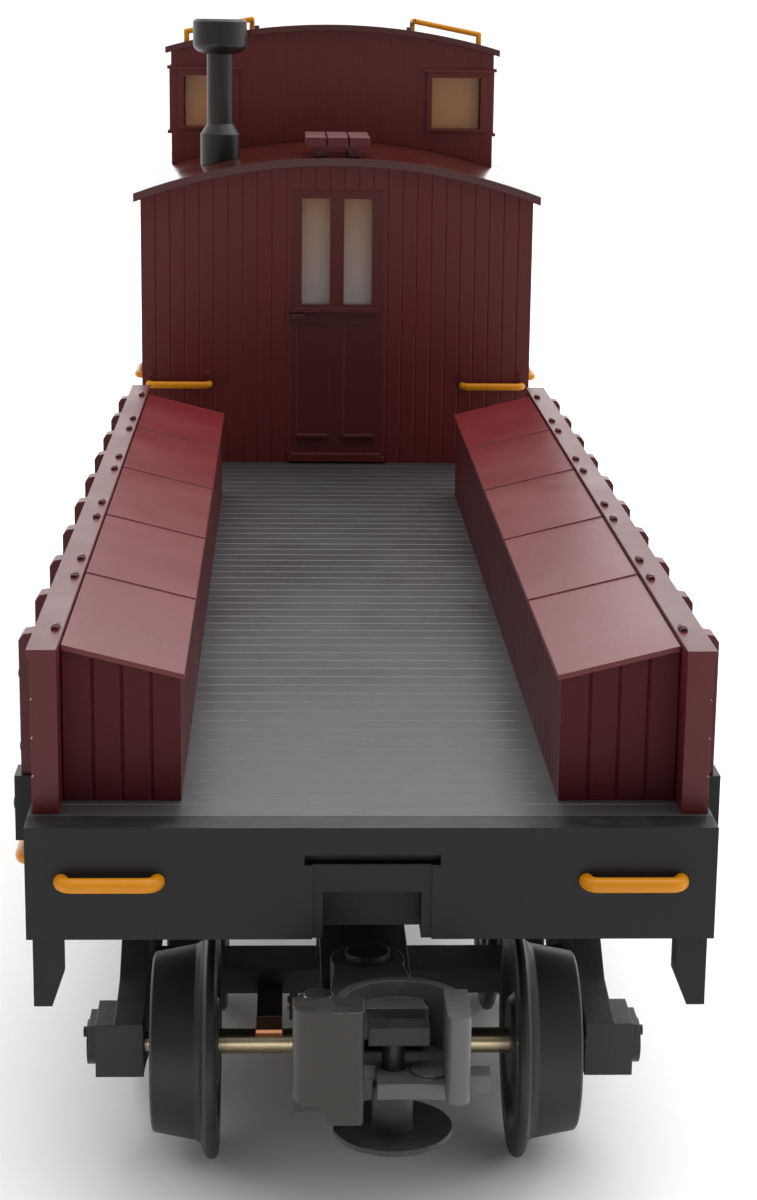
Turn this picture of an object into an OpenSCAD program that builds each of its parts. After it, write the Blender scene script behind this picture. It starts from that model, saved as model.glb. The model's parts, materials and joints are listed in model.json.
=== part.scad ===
// Work caboose at 1:48 for 32 mm three-rail track: an open deck with tool boxes, a cabin with a
// cupola, and two four-wheel trucks with swinging knuckle couplers.
// X runs across the car, Y along it with the open deck at -Y, and Z up from the rail-side plane
// that the wheel flanges stand on. The origin is below the middle of the car.

/* [Body] */
// Length over the two end sills
body_l = 278; // [250:1:334]
// Width over the end sills
body_w = 60; // [56:0.5:72]
// Height of the deck's top above the plane that the flanges stand on
deck_z = 38; // [37:0.5:46]
// Depth of the end sills
sill_h = 10.2; // [8.5:0.1:10.4]
// Pitch of the deck boards
board_pitch = 3.25; // [2.6:0.05:4]
// Length of the rear platform
platform_l = 13.75; // [11:0.25:17]

/* [Side walls and tool boxes] */
// Height of the side walls above the deck
wall_h = 14.8; // [12:0.1:18]
// Thickness of the side walls
wall_t = 2.6; // [2:0.1:3.2]
// Number of stakes on each side wall
stakes = 10; // [8:1:12]
// Height of the tool boxes at their inner edge
toolbox_h = 11.8; // [9.5:0.1:14]
// Depth of the tool boxes across the car
toolbox_w = 10.4; // [8.5:0.1:12.5]
// Number of lids on each tool box
lids = 5; // [4:1:6]

/* [Cabin and cupola] */
// Length of the cabin body
cabin_l = 92; // [80:1:110]
// Height of the cabin roof's eaves above the deck
eave_h = 40.9; // [38.5:0.1:48]
// Rise of the cabin roof's arch
roof_rise = 5.5; // [4.5:0.1:6.6]
// Thickness of the cabin walls
shell_t = 1.6; // [1.2:0.1:2]
// Pitch of the vertical wall boards
batten_pitch = 2.2; // [1.8:0.1:3]
// Length of the cupola body
cupola_l = 34; // [30:0.5:40]
// Width of the cupola body
cupola_w = 54; // [50:0.5:56]
// Height of the cupola roof's eaves above the deck
cupola_eave_h = 61.5; // [58:0.1:68]

/* [Trucks and couplers] */
// Distance between the two axles of a truck
wheelbase = 35; // [32:0.5:42]
// Distance from each end sill's face to its truck's centre
truck_inset = 34; // [33:0.5:42]
// Radius of the wheel flanges
flange_r = 11; // [10:0.1:11.5]
// Distance between the backs of a pair of wheels
back_to_back = 27.6; // [26:0.1:28.4]
// Radius of the axles
axle_r = 1.2; // [1:0.05:1.5]
// Radius of the truck pivot screws
pivot_r = 1.3; // [1:0.05:1.6]

/* [Wire] */
// Diameter of the grab iron wire
wire_d = 1.3; // [0.9:0.05:1.5]

/* [Hidden] */
$fn = 48;
arch_fn = 240;   // facets round the large roof arcs
fillet_fn = 24;  // facets round wire and small lugs
eps = 0.01;

// Clearances
run_gap = 0.05;   // radial gap of every shaft that turns or slides in a hole
seam_gap = 0.1;   // gap between pieces that are laid side by side

// Stations along the car
front_y = -body_l / 2;
rear_y = body_l / 2;
sill_t = board_pitch;                        // an end sill is as deep as one deck board
cabin_y1 = rear_y - platform_l;
cabin_y0 = cabin_y1 - cabin_l;
cupola_y0 = cabin_y0 + 47;
cupola_y1 = cupola_y0 + cupola_l;

// Levels
deck_t = 1.2;
floor_t = 1.6;
floor_top = deck_z - deck_t;
floor_bottom = floor_top - floor_t;
side_sill_bottom = floor_bottom - 5.4;
end_sill_bottom = deck_z - sill_h;
axle_z = flange_r;

// Grab irons of the end sills: inner and outer foot, and height
sill_grab_x = [body_w * 0.31, body_w * 0.448];
sill_grab_z = deck_z - 4.8;

// Side walls
wall_y0 = front_y + 3.8;
wall_l = cabin_y0 - front_y - 22.9;
wall_y1 = wall_y0 + wall_l;
wall_x1 = body_w / 2 - 0.1;
wall_x0 = wall_x1 - wall_t;
stake_pitch = (wall_l - 17) / (stakes - 1);  // the end stakes stand 8.5 mm inside the wall's ends
stake_w = 2.4;
stake_t = 1.4;
pocket_x1 = body_w / 2 + 1.9;                // outer face of the stake pockets
pocket_z1 = deck_z + 1.3;
function stake_y(i) = wall_y0 + 8.5 + i * stake_pitch;

// Tool boxes
toolbox_y0 = wall_y0 + 3.7;
toolbox_y1 = wall_y1 - 6;
toolbox_x1 = wall_x0 - seam_gap;
toolbox_x0 = toolbox_x1 - toolbox_w;
lid_rise = 2.6;      // rise of the lids from their inner edge to the wall
lid_t = 0.5;
lid_lip = 0.35;      // overhang of the lids past the box front and inner face
lid_pitch = (toolbox_y1 - toolbox_y0 + lid_lip) / lids;
box_t = 1.2;
function lid_z(x) = deck_z + toolbox_h + lid_rise * (x - toolbox_x0) / toolbox_w;

// V grooves between boards: width and depth
wall_groove = [0.26, 0.14];
deck_groove = [0.3, 0.1];
box_groove = [0.36, 0.22];
box_pitch = 2.6;     // boards of the tool box fronts

// Cabin
cabin_x = body_w / 2 - 0.4;
roof_x = cabin_x + 1;
roof_t = 1.2;
roof_lap = 1.5;      // overhang of the roof past the end walls
roof_r = (roof_x * roof_x + roof_rise * roof_rise) / (2 * roof_rise);
roof_crest = deck_z + eave_h + roof_rise;
cupola_x = cupola_w / 2;
cupola_roof_x = cupola_x + 0.9;
cupola_rise = 3.9;
cupola_roof_t = 1;
cupola_lap = 1.2;
cupola_r = (cupola_roof_x * cupola_roof_x + cupola_rise * cupola_rise) / (2 * cupola_rise);
cupola_crest = deck_z + cupola_eave_h + cupola_rise;
function roof_z(x) = roof_crest - roof_r + sqrt(roof_r * roof_r - x * x);
function cupola_z(x) = cupola_crest - cupola_r + sqrt(cupola_r * cupola_r - x * x);

// Openings in the cabin and the cupola
door_x = 6.9;
door_z0 = deck_z + 1;
door_z1 = deck_z + eave_h + 0.6;
door_t = 1;
pane_x0 = 1.06;
pane_x1 = 5.3;
pane_z0 = deck_z + 24.3;
pane_z1 = door_z1 - 1.2;
frame_w = 0.9;       // width of a window frame's members
frame_out = 0.5;     // how far a window frame stands out of its wall
side_window = [9, 12.5];
side_window_z = deck_z + 28;
side_window_ys = [cabin_y0 + 23, cabin_y1 - 23];
cupola_window = [8.2, 8.4];
cupola_window_z = cupola_crest - 12.7;
cupola_window_x = cupola_x - 6.2;
cupola_window_ys = [cupola_y0 + cupola_l * 0.27, cupola_y1 - cupola_l * 0.27];
glass_t = 0.6;

// Trucks
axle_y = wheelbase / 2;
wheel_w = 6.2;
wheel_x0 = back_to_back / 2;
wheel_x1 = wheel_x0 + wheel_w;
journal_r = axle_r * 0.75;
frame_x0 = wheel_x1 + 0.8;   // inner face of the side frames
frame_x1 = frame_x0 + 2.7;
box_x1 = frame_x0 + 4.5;     // outer face of the journal boxes
transom_y = 3.2;
transom_z0 = axle_z - 1.2;
transom_z1 = axle_z + 1.4;
pad_r = 6;
pad_bottom = axle_z + 11;
wiper_x = [-10.3, -7.8];
wiper_t = 0.4;
wiper_y = -axle_y + axle_r + 0.4;   // rear face of the outer axle's wiper, less its thickness

// Coupler, in its truck's own frame with the sill's face at -truck_inset
sill_y = -truck_inset;
rivet_y = sill_y + 10;
rivet_r = 1.2;
tongue_z0 = axle_z + 5.8;
tongue_z1 = tongue_z0 + 2;
shank_z0 = tongue_z1 + 0.2;
shank_z1 = shank_z0 + 3;
head_c = [2.4, sill_y - 4];   // centre of the head's round back wall
head_r = 5.7;
head_t = 0.8;
head_z0 = shank_z0 - 2.6;
head_z1 = shank_z0 + 4.6;
arm_z1 = head_z1 + 1.2;
head_floor_t = 1.4;
arm_y = sill_y - 9.5;
pin_c = [-4.7, sill_y - 4.4];  // the knuckle's pin
pin_r = 0.8;
lug_z0 = shank_z0 - 0.8;
lug_z1 = lug_z0 + 4.2;
knuckle_z0 = shank_z0 - 4;
knuckle_z1 = shank_z0 + 6.2;
fork_z1 = knuckle_z1 - 1.2;
knuckle_y0 = sill_y - 10;
lock_c = [1.8, sill_y - 4.4];  // the armature's pin
lock_r = 1;
disc_r = 5.2;
disc_z1 = knuckle_z0 - 2.6;

// Centre-rail pickup, in its truck's own frame
arm_pivot = [-1.8, transom_z0 - 1.6];
roller_c = [8, axle_z - 7];
roller_r = 2.7;
roller_x = 4.5;
spindle_r = 0.7;

// Colours
oxide = [0.30, 0.11, 0.12];
oxide_light = [0.42, 0.16, 0.18];
dark = [0.17, 0.17, 0.18];
black = [0.08, 0.08, 0.09];
yellow = [0.93, 0.62, 0.10];
die_cast = [0.33, 0.33, 0.32];
brass = [0.78, 0.66, 0.42];
copper = [0.72, 0.38, 0.22];
steel = [0.60, 0.60, 0.62];
frosted = [0.75, 0.70, 0.62, 0.7];

// ---------------------------------------------------------------- helpers

module box(x0, x1, y0, y1, z0, z1)
    translate([x0, y0, z0]) cube([x1 - x0, y1 - y0, z1 - z0]);

module both_sides() {
    children();
    mirror([1, 0, 0]) children();
}

// Extrudes an outline drawn in X and Z along Y.
module along_y(y0, y1)
    translate([0, y1, 0]) rotate([90, 0, 0]) linear_extrude(y1 - y0) children();

// Extrudes an outline drawn in Y and Z along X.
module along_x(x0, x1)
    translate([x0, 0, 0]) rotate([90, 0, 90]) linear_extrude(x1 - x0) children();

module rod_x(r, x0, x1, y, z)
    translate([x0, y, z]) rotate([0, 90, 0]) cylinder(r = r, h = x1 - x0);

module rod_y(r, y0, y1, x, z)
    translate([x, y0, z]) rotate([-90, 0, 0]) cylinder(r = r, h = y1 - y0);

// A round solid along Y whose top is the crest of a roof arc.
module arch(r, crest, y0, y1)
    rod_y(r, y0, y1, 0, crest - r, $fn = arch_fn);

// A length of wire between two points, with round ends a little thicker than the wire.
module wire(a, b, d = wire_d) {
    v = b - a;
    end_scale = 1.03;
    translate(a) rotate([0, acos(v[2] / norm(v)), atan2(v[1], v[0])])
        cylinder(d = d, h = norm(v), $fn = fillet_fn);
    for (p = [a, b]) translate(p) sphere(d = d * end_scale, $fn = fillet_fn);
}

// Wire through a list of points.
module wire_path(points, d = wire_d)
    for (i = [0 : len(points) - 2]) wire(points[i], points[i + 1], d);

// The outline from p to q with a V groove between neighbouring boards; the solid is on its left.
function grooved(p, q, pitch, groove) =
    let (n = max(2, round(norm(q - p) / pitch)),
         d = (q - p) / norm(q - p),
         inward = [-d[1], d[0]])
    [p, for (i = [1 : n - 1])
        let (c = p + (q - p) * i / n)
        each [c - d * groove[0] / 2, c + inward * groove[1], c + d * groove[0] / 2]];

// A rectangle of vertical boards seen from above.
function board_outline(x0, x1, y0, y1, pitch, groove) = concat(
    grooved([x0, y0], [x1, y0], pitch, groove), grooved([x1, y0], [x1, y1], pitch, groove),
    grooved([x1, y1], [x0, y1], pitch, groove), grooved([x0, y1], [x0, y0], pitch, groove));

// ---------------------------------------------------------------- frame and deck

// Floor, side sills, centre sill and cross bearers, with a stake pocket below each stake.
module underframe() {
    sill_x = body_w / 2 - 0.5;
    bearer_t = 1.4;
    bearers = 8;
    y0 = front_y + sill_t;
    y1 = rear_y - sill_t;
    color(dark) difference() {
        union() {
            box(-sill_x, sill_x, y0, y1, floor_bottom, floor_top);
            both_sides() box(sill_x - 1.6, sill_x, y0, y1, side_sill_bottom, floor_bottom + eps);
            both_sides() box(4, 5.4, y0, y1, side_sill_bottom + 0.4, floor_bottom + eps);
            for (i = [0 : bearers - 1]) {
                y = -body_l / 2 + truck_inset + 22 + i * (body_l - 2 * truck_inset - 44) / (bearers - 1);
                box(-sill_x + 1, sill_x - 1, y - bearer_t / 2, y + bearer_t / 2,
                    side_sill_bottom + 1.6, floor_bottom + eps);
            }
            both_sides() for (i = [0 : stakes - 1])
                box(sill_x - eps, wall_x1 + stake_t, stake_y(i) - 1.7, stake_y(i) + 1.7,
                    deck_z - 4.8, floor_top);
            both_sides() for (i = [0 : stakes - 1])
                box(body_w / 2 + 0.05, pocket_x1, stake_y(i) - 1.7, stake_y(i) + 1.7,
                    deck_z - 4.8, pocket_z1);
        }
        for (s = [-1, 1]) translate([0, s * (body_l / 2 - truck_inset), floor_bottom - 1])
            cylinder(r = pivot_r, h = floor_t + 2);
    }
}

// Round pads that carry the body on its trucks.
module bolster_pads() {
    color(dark) for (s = [-1, 1]) translate([0, s * (body_l / 2 - truck_inset), pad_bottom])
        difference() {
            union() {
                cylinder(r = pad_r - 2, h = floor_bottom - pad_bottom);
                translate([0, 0, 2]) cylinder(r1 = pad_r - 2, r2 = pad_r - 2.1, h = 2);
                translate([0, 0, floor_bottom - pad_bottom - 3]) cylinder(r = 3.9, h = 3);
            }
            translate([0, 0, -1]) cylinder(r = pivot_r, h = floor_bottom - pad_bottom + 2);
        }
}

// Deck boards: an outline of flat boards and V grooves, extruded across the car.
function deck_outline(y0, y1) = concat(
    [[y0, floor_top]], [[y1, floor_top]],
    grooved([y1, deck_z], [y0, deck_z], board_pitch, deck_groove), [[y0, deck_z]]);

module deck() {
    color(dark) {
        along_x(-body_w / 2, body_w / 2)
            polygon(deck_outline(front_y + sill_t, cabin_y0 - seam_gap));
        along_x(-body_w / 2, body_w / 2)
            polygon(deck_outline(cabin_y1 + seam_gap, rear_y - sill_t));
    }
}

// End sill with a shallow coupler pad and its slot, drawn for the front end.
module end_sill() {
    pad_x = 5.2;
    pad_top = deck_z - 3.3;
    slot_x = 5.9;
    pocket_x = 4.3;
    color(dark) difference() {
        box(-body_w / 2, body_w / 2, front_y, front_y + sill_t, end_sill_bottom, deck_z);
        box(-pad_x, pad_x, front_y - 1, front_y + 0.35, end_sill_bottom - 1, pad_top);
        box(-slot_x, slot_x, front_y - 1, front_y + 1.2, pad_top - 0.1, pad_top + 0.8);
        box(-pocket_x, pocket_x, front_y - 1, front_y + sill_t + 1, end_sill_bottom - 1, deck_z - 6);
        both_sides() for (x = sill_grab_x)
            rod_y(wire_d / 2, front_y - 1, front_y + 1.5, x, sill_grab_z);
    }
}

module rear_end() rotate([0, 0, 180]) children();

// Stirrup step: a tapered front strap, a tread and a rear strap, drawn for one corner.
module corner_step() {
    x1 = body_w / 2 - 0.5;
    tread_z = end_sill_bottom - 6.4;
    y0 = front_y + 0.5;
    y1 = y0 + 9;
    strap_t = 1;
    along_y(y0, y0 + strap_t)
        polygon([[x1, end_sill_bottom], [x1 - 2.7, end_sill_bottom], [x1 - 2.7, tread_z + 3.2],
                 [x1 - 1.6, tread_z], [x1, tread_z + 0.6]]);
    box(x1 - 1.6, x1, y0, y1, tread_z, tread_z + strap_t);
    box(x1 - 1.6, x1, y1 - strap_t, y1, tread_z, side_sill_bottom);
}

module corner_steps() {
    color(dark) both_sides() {
        corner_step();
        mirror([0, 1, 0]) corner_step();
    }
}

// ---------------------------------------------------------------- side walls and tool boxes

// Side wall with horizontal boards outside, a cap, stakes and hinge lugs, drawn for +X.
module side_wall() {
    cap_t = 0.9;
    lug_r = 0.35;
    color(oxide_light) {
        along_y(wall_y0, wall_y1)
            polygon(concat([[wall_x0, deck_z]],
                grooved([wall_x1 - 0.25, deck_z], [wall_x1 - 0.25, deck_z + wall_h - cap_t], 3.4,
                        box_groove),
                [[wall_x1 - 0.25, deck_z + wall_h - cap_t], [wall_x1, deck_z + wall_h - cap_t],
                 [wall_x1, deck_z + wall_h], [wall_x0, deck_z + wall_h]]));
        for (i = [0 : stakes - 1]) along_y(stake_y(i) - stake_w / 2, stake_y(i) + stake_w / 2)
            polygon([[wall_x1 - 0.3, deck_z], [body_w / 2, deck_z], [body_w / 2, pocket_z1],
                     [wall_x1 + stake_t, pocket_z1],
                     [wall_x1 + stake_t, deck_z + wall_h - 1.1],
                     [wall_x1 + stake_t * 0.7, deck_z + wall_h - 0.5],
                     [wall_x1 - 0.3, deck_z + wall_h - 0.3]]);
        for (i = [0 : lids - 1], s = [0.14, 0.86]) {
            y = toolbox_y0 + (i + s) * lid_pitch;
            rod_y(lug_r, y - 0.8, y + 0.8, wall_x0 + 0.7, deck_z + wall_h, $fn = fillet_fn);
            rod_y(lug_r * 1.2, y - 0.3, y + 0.3, wall_x0 + 0.7, deck_z + wall_h, $fn = fillet_fn);
        }
    }
}

// Tool box of vertical boards with a sloping open top and an open bottom, drawn for +X.
module toolbox() {
    top = deck_z + toolbox_h + lid_rise + 1;
    color(oxide_light) difference() {
        translate([0, 0, deck_z]) linear_extrude(top - deck_z)
            polygon(board_outline(toolbox_x0, toolbox_x1, toolbox_y0, toolbox_y1, box_pitch, box_groove));
        box(toolbox_x0 + box_t, toolbox_x1 - box_t, toolbox_y0 + box_t, toolbox_y1 - box_t,
            deck_z - 1, top + 1);
        along_y(toolbox_y0 - 1, toolbox_y1 + 1)
            polygon([[toolbox_x0 - 1, lid_z(toolbox_x0 - 1) - lid_t],
                     [toolbox_x1 + 1, lid_z(toolbox_x1 + 1) - lid_t],
                     [toolbox_x1 + 1, top + 1], [toolbox_x0 - 1, top + 1]]);
    }
}

// Sloping lids with a raised bead along each joint, drawn for +X.
module toolbox_lids() {
    bead = 0.22;
    x0 = toolbox_x0 - lid_lip;
    x1 = toolbox_x1;
    color(oxide_light) for (i = [0 : lids - 1]) {
        y0 = toolbox_y0 - lid_lip + i * lid_pitch;
        y1 = y0 + lid_pitch - 0.06;
        along_y(y0, y1)
            polygon([[x0, lid_z(x0) - lid_t], [x1, lid_z(x1) - lid_t],
                     [x1, lid_z(x1)], [x0, lid_z(x0)]]);
        if (i < lids - 1) along_y(y1 - bead, y1)
            polygon([[x0, lid_z(x0) - lid_t], [x1, lid_z(x1) - lid_t],
                     [x1, lid_z(x1) + 0.12], [x0, lid_z(x0) + 0.12]]);
    }
}

// ---------------------------------------------------------------- cabin

// A window frame round an opening in a wall whose outer face is at x = wall, drawn for +X.
module side_frame_trim(wall, y, z, size) {
    w = size[0] / 2;
    h = size[1] / 2;
    difference() {
        union() {
            box(wall - eps, wall + frame_out, y - w - frame_w, y + w + frame_w,
                z - h - frame_w, z + h + frame_w);
            box(wall - eps, wall + frame_out + 0.35, y - w - 1.4, y + w + 1.4,
                z + h + frame_w, z + h + frame_w + 0.5);
            box(wall - eps, wall + frame_out + 0.35, y - w - 1.2, y + w + 1.2,
                z - h - frame_w - 0.5, z - h - frame_w);
        }
        box(wall - 1, wall + 2, y - w, y + w, z - h, z + h);
    }
}

// Cabin walls of vertical boards, trimmed to the underside of the roof.
module cabin_shell() {
    z0 = floor_top;
    x_in = cabin_x - shell_t;
    bolt_z = deck_z + 13.7;
    color(oxide) {
        difference() {
            intersection() {
                translate([0, 0, z0]) linear_extrude(roof_crest - z0)
                    polygon(board_outline(-cabin_x, cabin_x, cabin_y0, cabin_y1, batten_pitch, wall_groove));
                arch(roof_r - roof_t, roof_crest - roof_t, cabin_y0 - 1, cabin_y1 + 1);
            }
            box(-x_in, x_in, cabin_y0 + shell_t, cabin_y1 - shell_t, z0 - 1, roof_crest + 1);
            box(-door_x, door_x, cabin_y0 - 1, cabin_y1 + 1, door_z0, door_z1);
            for (y = side_window_ys)
                box(-cabin_x - 1, cabin_x + 1, y - side_window[0] / 2, y + side_window[0] / 2,
                    side_window_z - side_window[1] / 2, side_window_z + side_window[1] / 2);
        }
        both_sides() for (y = side_window_ys)
            side_frame_trim(cabin_x, y, side_window_z, side_window);
        both_sides() for (x = [cabin_x - 1.3, cabin_x - 10])
            rod_y(0.45, cabin_y0 - 0.5, cabin_y0 + 0.5, x, bolt_z, $fn = fillet_fn);
    }
}

// Arched roof with an opening below the cupola.
module cabin_roof() {
    y0 = cabin_y0 - roof_lap;
    y1 = cabin_y1 + roof_lap;
    inset = 3;
    color(oxide) difference() {
        intersection() {
            arch(roof_r, roof_crest, y0, y1);
            box(-roof_x, roof_x, y0 - 1, y1 + 1, deck_z + eave_h - roof_t - 0.3, roof_crest + 1);
        }
        arch(roof_r - roof_t, roof_crest - roof_t, y0 - 1, y1 + 1);
        box(-cupola_x + inset, cupola_x - inset, cupola_y0 + inset, cupola_y1 - inset,
            deck_z, roof_crest + 1);
    }
}

// Door with two tall panes over two sunk panels, a ledge, a latch and a threshold.
module door() {
    y0 = cabin_y0 + 0.03;
    panel_d = 0.06;
    ledge_z = pane_z0 - 1.1;
    color(oxide) {
        difference() {
            box(-door_x, door_x, y0, y0 + door_t, door_z0, door_z1);
            both_sides() box(pane_x0, pane_x1, y0 - 1, y0 + 2, pane_z0, pane_z1);
            both_sides() box(1.2, 6, y0 - 1, y0 + panel_d, deck_z + 4.1, ledge_z - 2);
        }
        box(-door_x, door_x - 0.5, cabin_y0 - 0.9, y0 + eps, ledge_z, ledge_z + 0.7);
        box(-door_x, -4.9, cabin_y0 - 1.1, y0 + eps, ledge_z - 0.9, ledge_z - 0.2);
        both_sides() box(1.2, 6, y0 - 0.5, y0 + panel_d + eps, deck_z + 3.9, deck_z + 4.4);
        box(-door_x - 0.5, door_x + 0.7, cabin_y0 - 1.1, cabin_y0 - eps / 2, deck_z + 0.3, deck_z + 1);
        box(-door_x, door_x, cabin_y0 - 1.1, y0 + eps, deck_z + 1, deck_z + 1.5);
    }
}

// Frosted plates behind the windows and door panes.
module window_glazing() {
    x_out = cabin_x - shell_t - seam_gap;
    h = side_window[1] / 2 + 1.5;
    cx = cupola_x - 1.4 - seam_gap;
    ch = cupola_window[1] / 2 + 1;
    color(frosted) {
        both_sides() box(x_out - glass_t, x_out, side_window_ys[0] - 7, side_window_ys[1] + 7,
                         side_window_z - h, side_window_z + h);
        for (y = [cabin_y0 + shell_t + seam_gap, cabin_y1 - shell_t - seam_gap - glass_t])
            box(-door_x, door_x, y, y + glass_t, pane_z0 - 1.5, door_z1);
        both_sides() box(cx - glass_t, cx, cupola_y0 + 3, cupola_y1 - 3,
                         cupola_window_z - ch, cupola_window_z + ch);
        both_sides() for (y = [cupola_y0 + 1.4 + seam_gap, cupola_y1 - 1.4 - seam_gap - glass_t])
            box(cupola_window_x - 5.2, cupola_window_x + 3.9, y, y + glass_t,
                cupola_window_z - ch, cupola_window_z + ch);
    }
}

// ---------------------------------------------------------------- cupola and roof fittings

// A window frame on the cupola's front wall, with a head strip that runs past its sides.
module front_frame_trim(x, z, size) {
    w = size[0] / 2;
    h = size[1] / 2;
    y1 = cupola_y0 + eps;
    difference() {
        union() {
            box(x - w - frame_w, x + w + frame_w, cupola_y0 - 0.4, y1,
                z - h - 0.5, z + h + frame_w);
            box(x - w - 1.6, x + w + 1.6, cupola_y0 - 0.7, y1, z + h + frame_w, z + h + frame_w + 0.5);
        }
        box(x - w, x + w, cupola_y0 - 2, cupola_y0 + 1, z - h, z + h);
    }
}

// Cupola walls, cut to the cabin roof below and to the cupola roof above.
module cupola_shell() {
    t = 1.4;
    z0 = deck_z + eave_h - 2;
    w = cupola_window[0] / 2;
    h = cupola_window[1] / 2;
    color(oxide) {
        difference() {
            intersection() {
                translate([0, 0, z0]) linear_extrude(cupola_crest - z0)
                    polygon(board_outline(-cupola_x, cupola_x, cupola_y0, cupola_y1, batten_pitch,
                                          wall_groove * 0.5));
                arch(cupola_r - cupola_roof_t, cupola_crest - cupola_roof_t,
                     cupola_y0 - 1, cupola_y1 + 1);
            }
            arch(roof_r, roof_crest, cupola_y0 - 2, cupola_y1 + 2);
            box(-cupola_x + t, cupola_x - t, cupola_y0 + t, cupola_y1 - t, z0 - 1, cupola_crest + 1);
            both_sides() box(cupola_window_x - w, cupola_window_x + w, cupola_y0 - 1, cupola_y1 + 1,
                             cupola_window_z - h, cupola_window_z + h);
            for (y = cupola_window_ys)
                box(-cupola_x - 1, cupola_x + 1, y - w, y + w,
                    cupola_window_z - h, cupola_window_z + h);
        }
        both_sides() {
            for (y = cupola_window_ys)
                side_frame_trim(cupola_x, y, cupola_window_z, cupola_window);
            front_frame_trim(cupola_window_x, cupola_window_z, cupola_window);
            translate([0, cupola_y0 + cupola_y1, 0]) mirror([0, 1, 0])
                front_frame_trim(cupola_window_x, cupola_window_z, cupola_window);
        }
    }
}

// Arched cupola roof with two small bolts near its front edge.
module cupola_roof() {
    y0 = cupola_y0 - cupola_lap;
    y1 = cupola_y1 + cupola_lap;
    color(oxide) {
        difference() {
            intersection() {
                arch(cupola_r, cupola_crest, y0, y1);
                box(-cupola_roof_x, cupola_roof_x, y0 - 1, y1 + 1,
                    deck_z + cupola_eave_h - cupola_roof_t - 0.2, cupola_crest + 1);
            }
            arch(cupola_r - cupola_roof_t, cupola_crest - cupola_roof_t, y0 - 1, y1 + 1);
        }
        both_sides() translate([12.7, y0 + 1.2, cupola_z(12.7) - 0.5])
            cylinder(r = 0.45, h = 1, $fn = fillet_fn);
    }
}

// Two runs of three boards on saddles along the crest of the cabin roof.
module running_board() {
    board_w = 3.05;
    board_t = 1.4;
    gap = 0.25;
    saddle_t = 1.2;
    z0 = roof_crest + 1.6;
    saddles = 2;
    run_end = roof_lap - 0.3;
    // A run at the front edge of the roof and one behind the cupola
    runs = [[cabin_y0 - run_end, cabin_y0 + 15.8], [cupola_y1 + 0.8, cabin_y1 + run_end]];
    color(oxide_light) for (run = runs) {
        for (i = [-1 : 1]) {
            x = i * (board_w + gap);
            box(x - board_w / 2, x + board_w / 2, run[0], run[1], z0, z0 + board_t);
        }
        for (i = [0 : saddles - 1]) {
            y = run[0] + 2 + i * (run[1] - run[0] - 4 - saddle_t) / (saddles - 1);
            difference() {
                box(-3.4, 3.4, y, y + saddle_t, roof_crest - 1, z0);
                box(-1.6, 1.6, y - 1, y + 3, roof_crest - 2, z0 - 0.5);
                arch(roof_r, roof_crest, y - 1, y + 3);
            }
        }
    }
}

// Smoke jack: a base, a stem and a flared cap, all turned about one upright axis.
jack_x = -18.1;
jack_y = cabin_y0 + 19.5;
module smoke_jack() {
    base = deck_z + eave_h + 1.5;
    top = deck_z + eave_h + 25.4;
    color(black) difference() {
        translate([jack_x, jack_y, 0]) rotate_extrude()
            polygon(concat(
                [[0, base], [3.1, base], [3.1, top - 17.6], [2.05, top - 16]],
                [for (a = [0 : 15 : 90]) [2.05 + 2.15 * sin(a), top - 3.8 - 1.5 * cos(a)]],
                [[4.2, top - 0.4], [3.8, top], [0, top]]));
        arch(roof_r, roof_crest, cabin_y0 - 2, cabin_y1 + 2);
    }
}

// ---------------------------------------------------------------- grab irons, railing, ladder

// A straight grab iron between two feet: it stands off its wall by the vector out.
module grab(a, b, out, d = wire_d)
    wire_path([a, a + out, b + out, b], d);

module sill_grab_irons() {
    depth = 1.2;
    side_z = side_sill_bottom + 1.5;
    color(yellow) {
        both_sides() for (m = [0, 1]) mirror([0, m, 0])
            grab([sill_grab_x[0], front_y + 0.7, sill_grab_z],
                 [sill_grab_x[1], front_y + 0.7, sill_grab_z], [0, -0.7 - depth, 0]);
        both_sides() for (m = [0, 1]) mirror([0, m, 0])
            grab([body_w / 2 - 0.5, front_y + 11.2, side_z], [body_w / 2 - 0.5, front_y + 19.2, side_z],
                 [2, 0, 0]);
    }
}

module cabin_grab_irons() {
    z = deck_z + 12.1;
    d = wire_d * 0.8;
    color(yellow) both_sides() for (m = [0, 1]) {
        y = m == 0 ? cabin_y0 : cabin_y1;
        s = m == 0 ? 1 : -1;
        grab([cabin_x - 10.2, y + s * 0.6, z], [cabin_x - 1.1, y + s * 0.6, z], [0, -s * 1.9, 0], d);
        grab([cabin_x - 0.6, y + s * 2.5, z + 1], [cabin_x - 0.6, y + s * 12, z + 1], [1.4, 0, 0], d);
    }
}

// Handrails on the cupola roof, each with a leg running back, and one at the top of the ladder.
module roof_grab_irons() {
    x0 = 13.6;
    x1 = cupola_x - 2.6;
    y0 = cupola_y0 + 0.6;
    up = 1.6;
    d = 0.9;
    color(yellow) {
        both_sides() wire_path([
            [x0, y0 + 7, cupola_z(x0) - 0.4], [x0, y0 + 7, cupola_z(x0) + up],
            [x0, y0, cupola_z(x0) + up], [x1, y0, cupola_z(x1) + up],
            [x1, y0, cupola_z(x1) - 0.4]], d);
        wire_path([
            [x0, cabin_y1 - 3, roof_z(x0) - 0.4], [x0, cabin_y1 - 3, roof_z(x0) + up],
            [x1 - 2, cabin_y1 - 3, roof_z(x1 - 2) + up], [x1 - 2, cabin_y1 - 3, roof_z(x1 - 2) - 0.4]], d);
    }
}

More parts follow.
